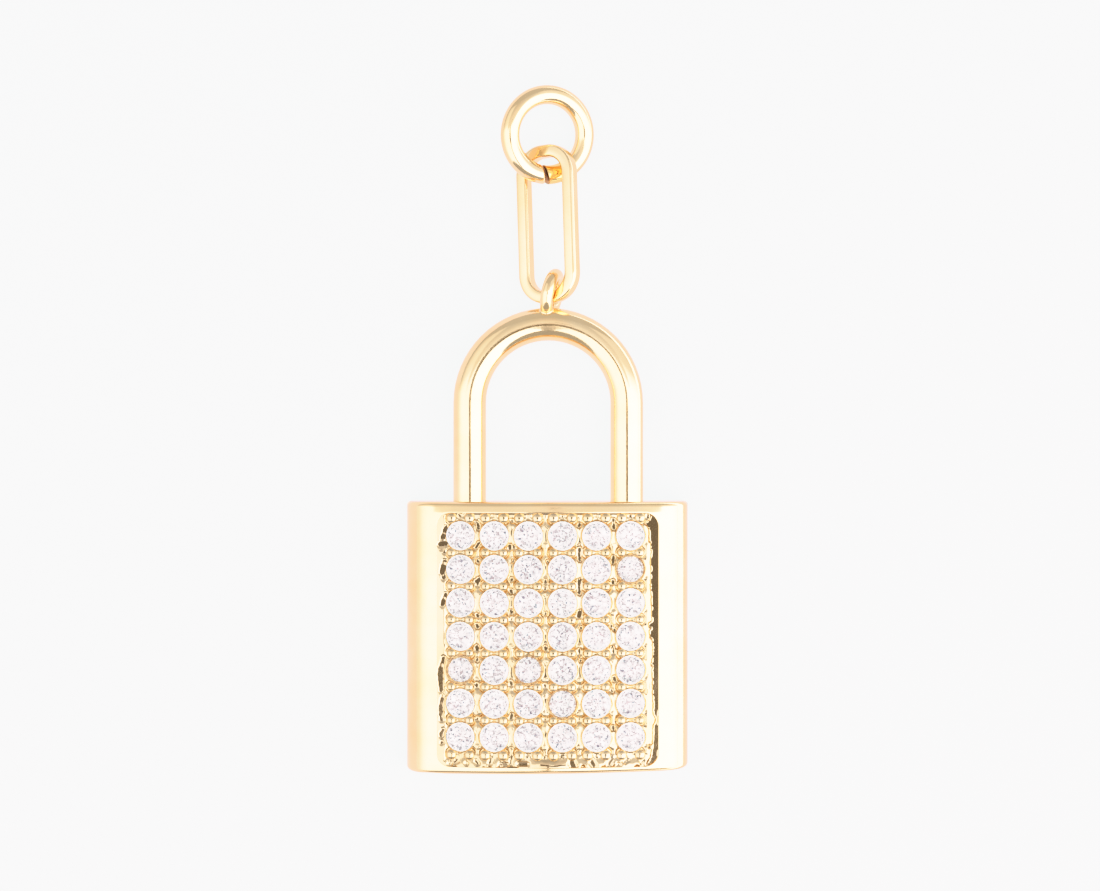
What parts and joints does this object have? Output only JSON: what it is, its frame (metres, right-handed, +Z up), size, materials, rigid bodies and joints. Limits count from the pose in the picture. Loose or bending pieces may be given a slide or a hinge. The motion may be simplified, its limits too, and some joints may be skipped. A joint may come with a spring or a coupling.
{
  "type": "padlock bag charm",
  "caption": "Padlock-shaped bag charm, lying on its back: a gold casting with a stone-paved front, a fixed round shackle, an oval link and an open jump ring to hang it by.",
  "frame": {"origin": "centre of the whole charm's footprint, on the surface that it lies on", "axes": "+Z up and out of the paved front, +Y along the charm from the padlock towards the jump ring, +X to the right seen from the front"},
  "size_m": [0.0188, 0.0458, 0.0045],
  "materials": {
    "gold_plate": "polished",
    "pave_stones": "polished"
  },
  "bodies": {
    "root": {"lock_body": "gold_plate", "pave_plate": "pave_stones", "shackle": "gold_plate", "oval_link": "gold_plate", "top_ring": "gold_plate"}
  },
  "joints": []
}
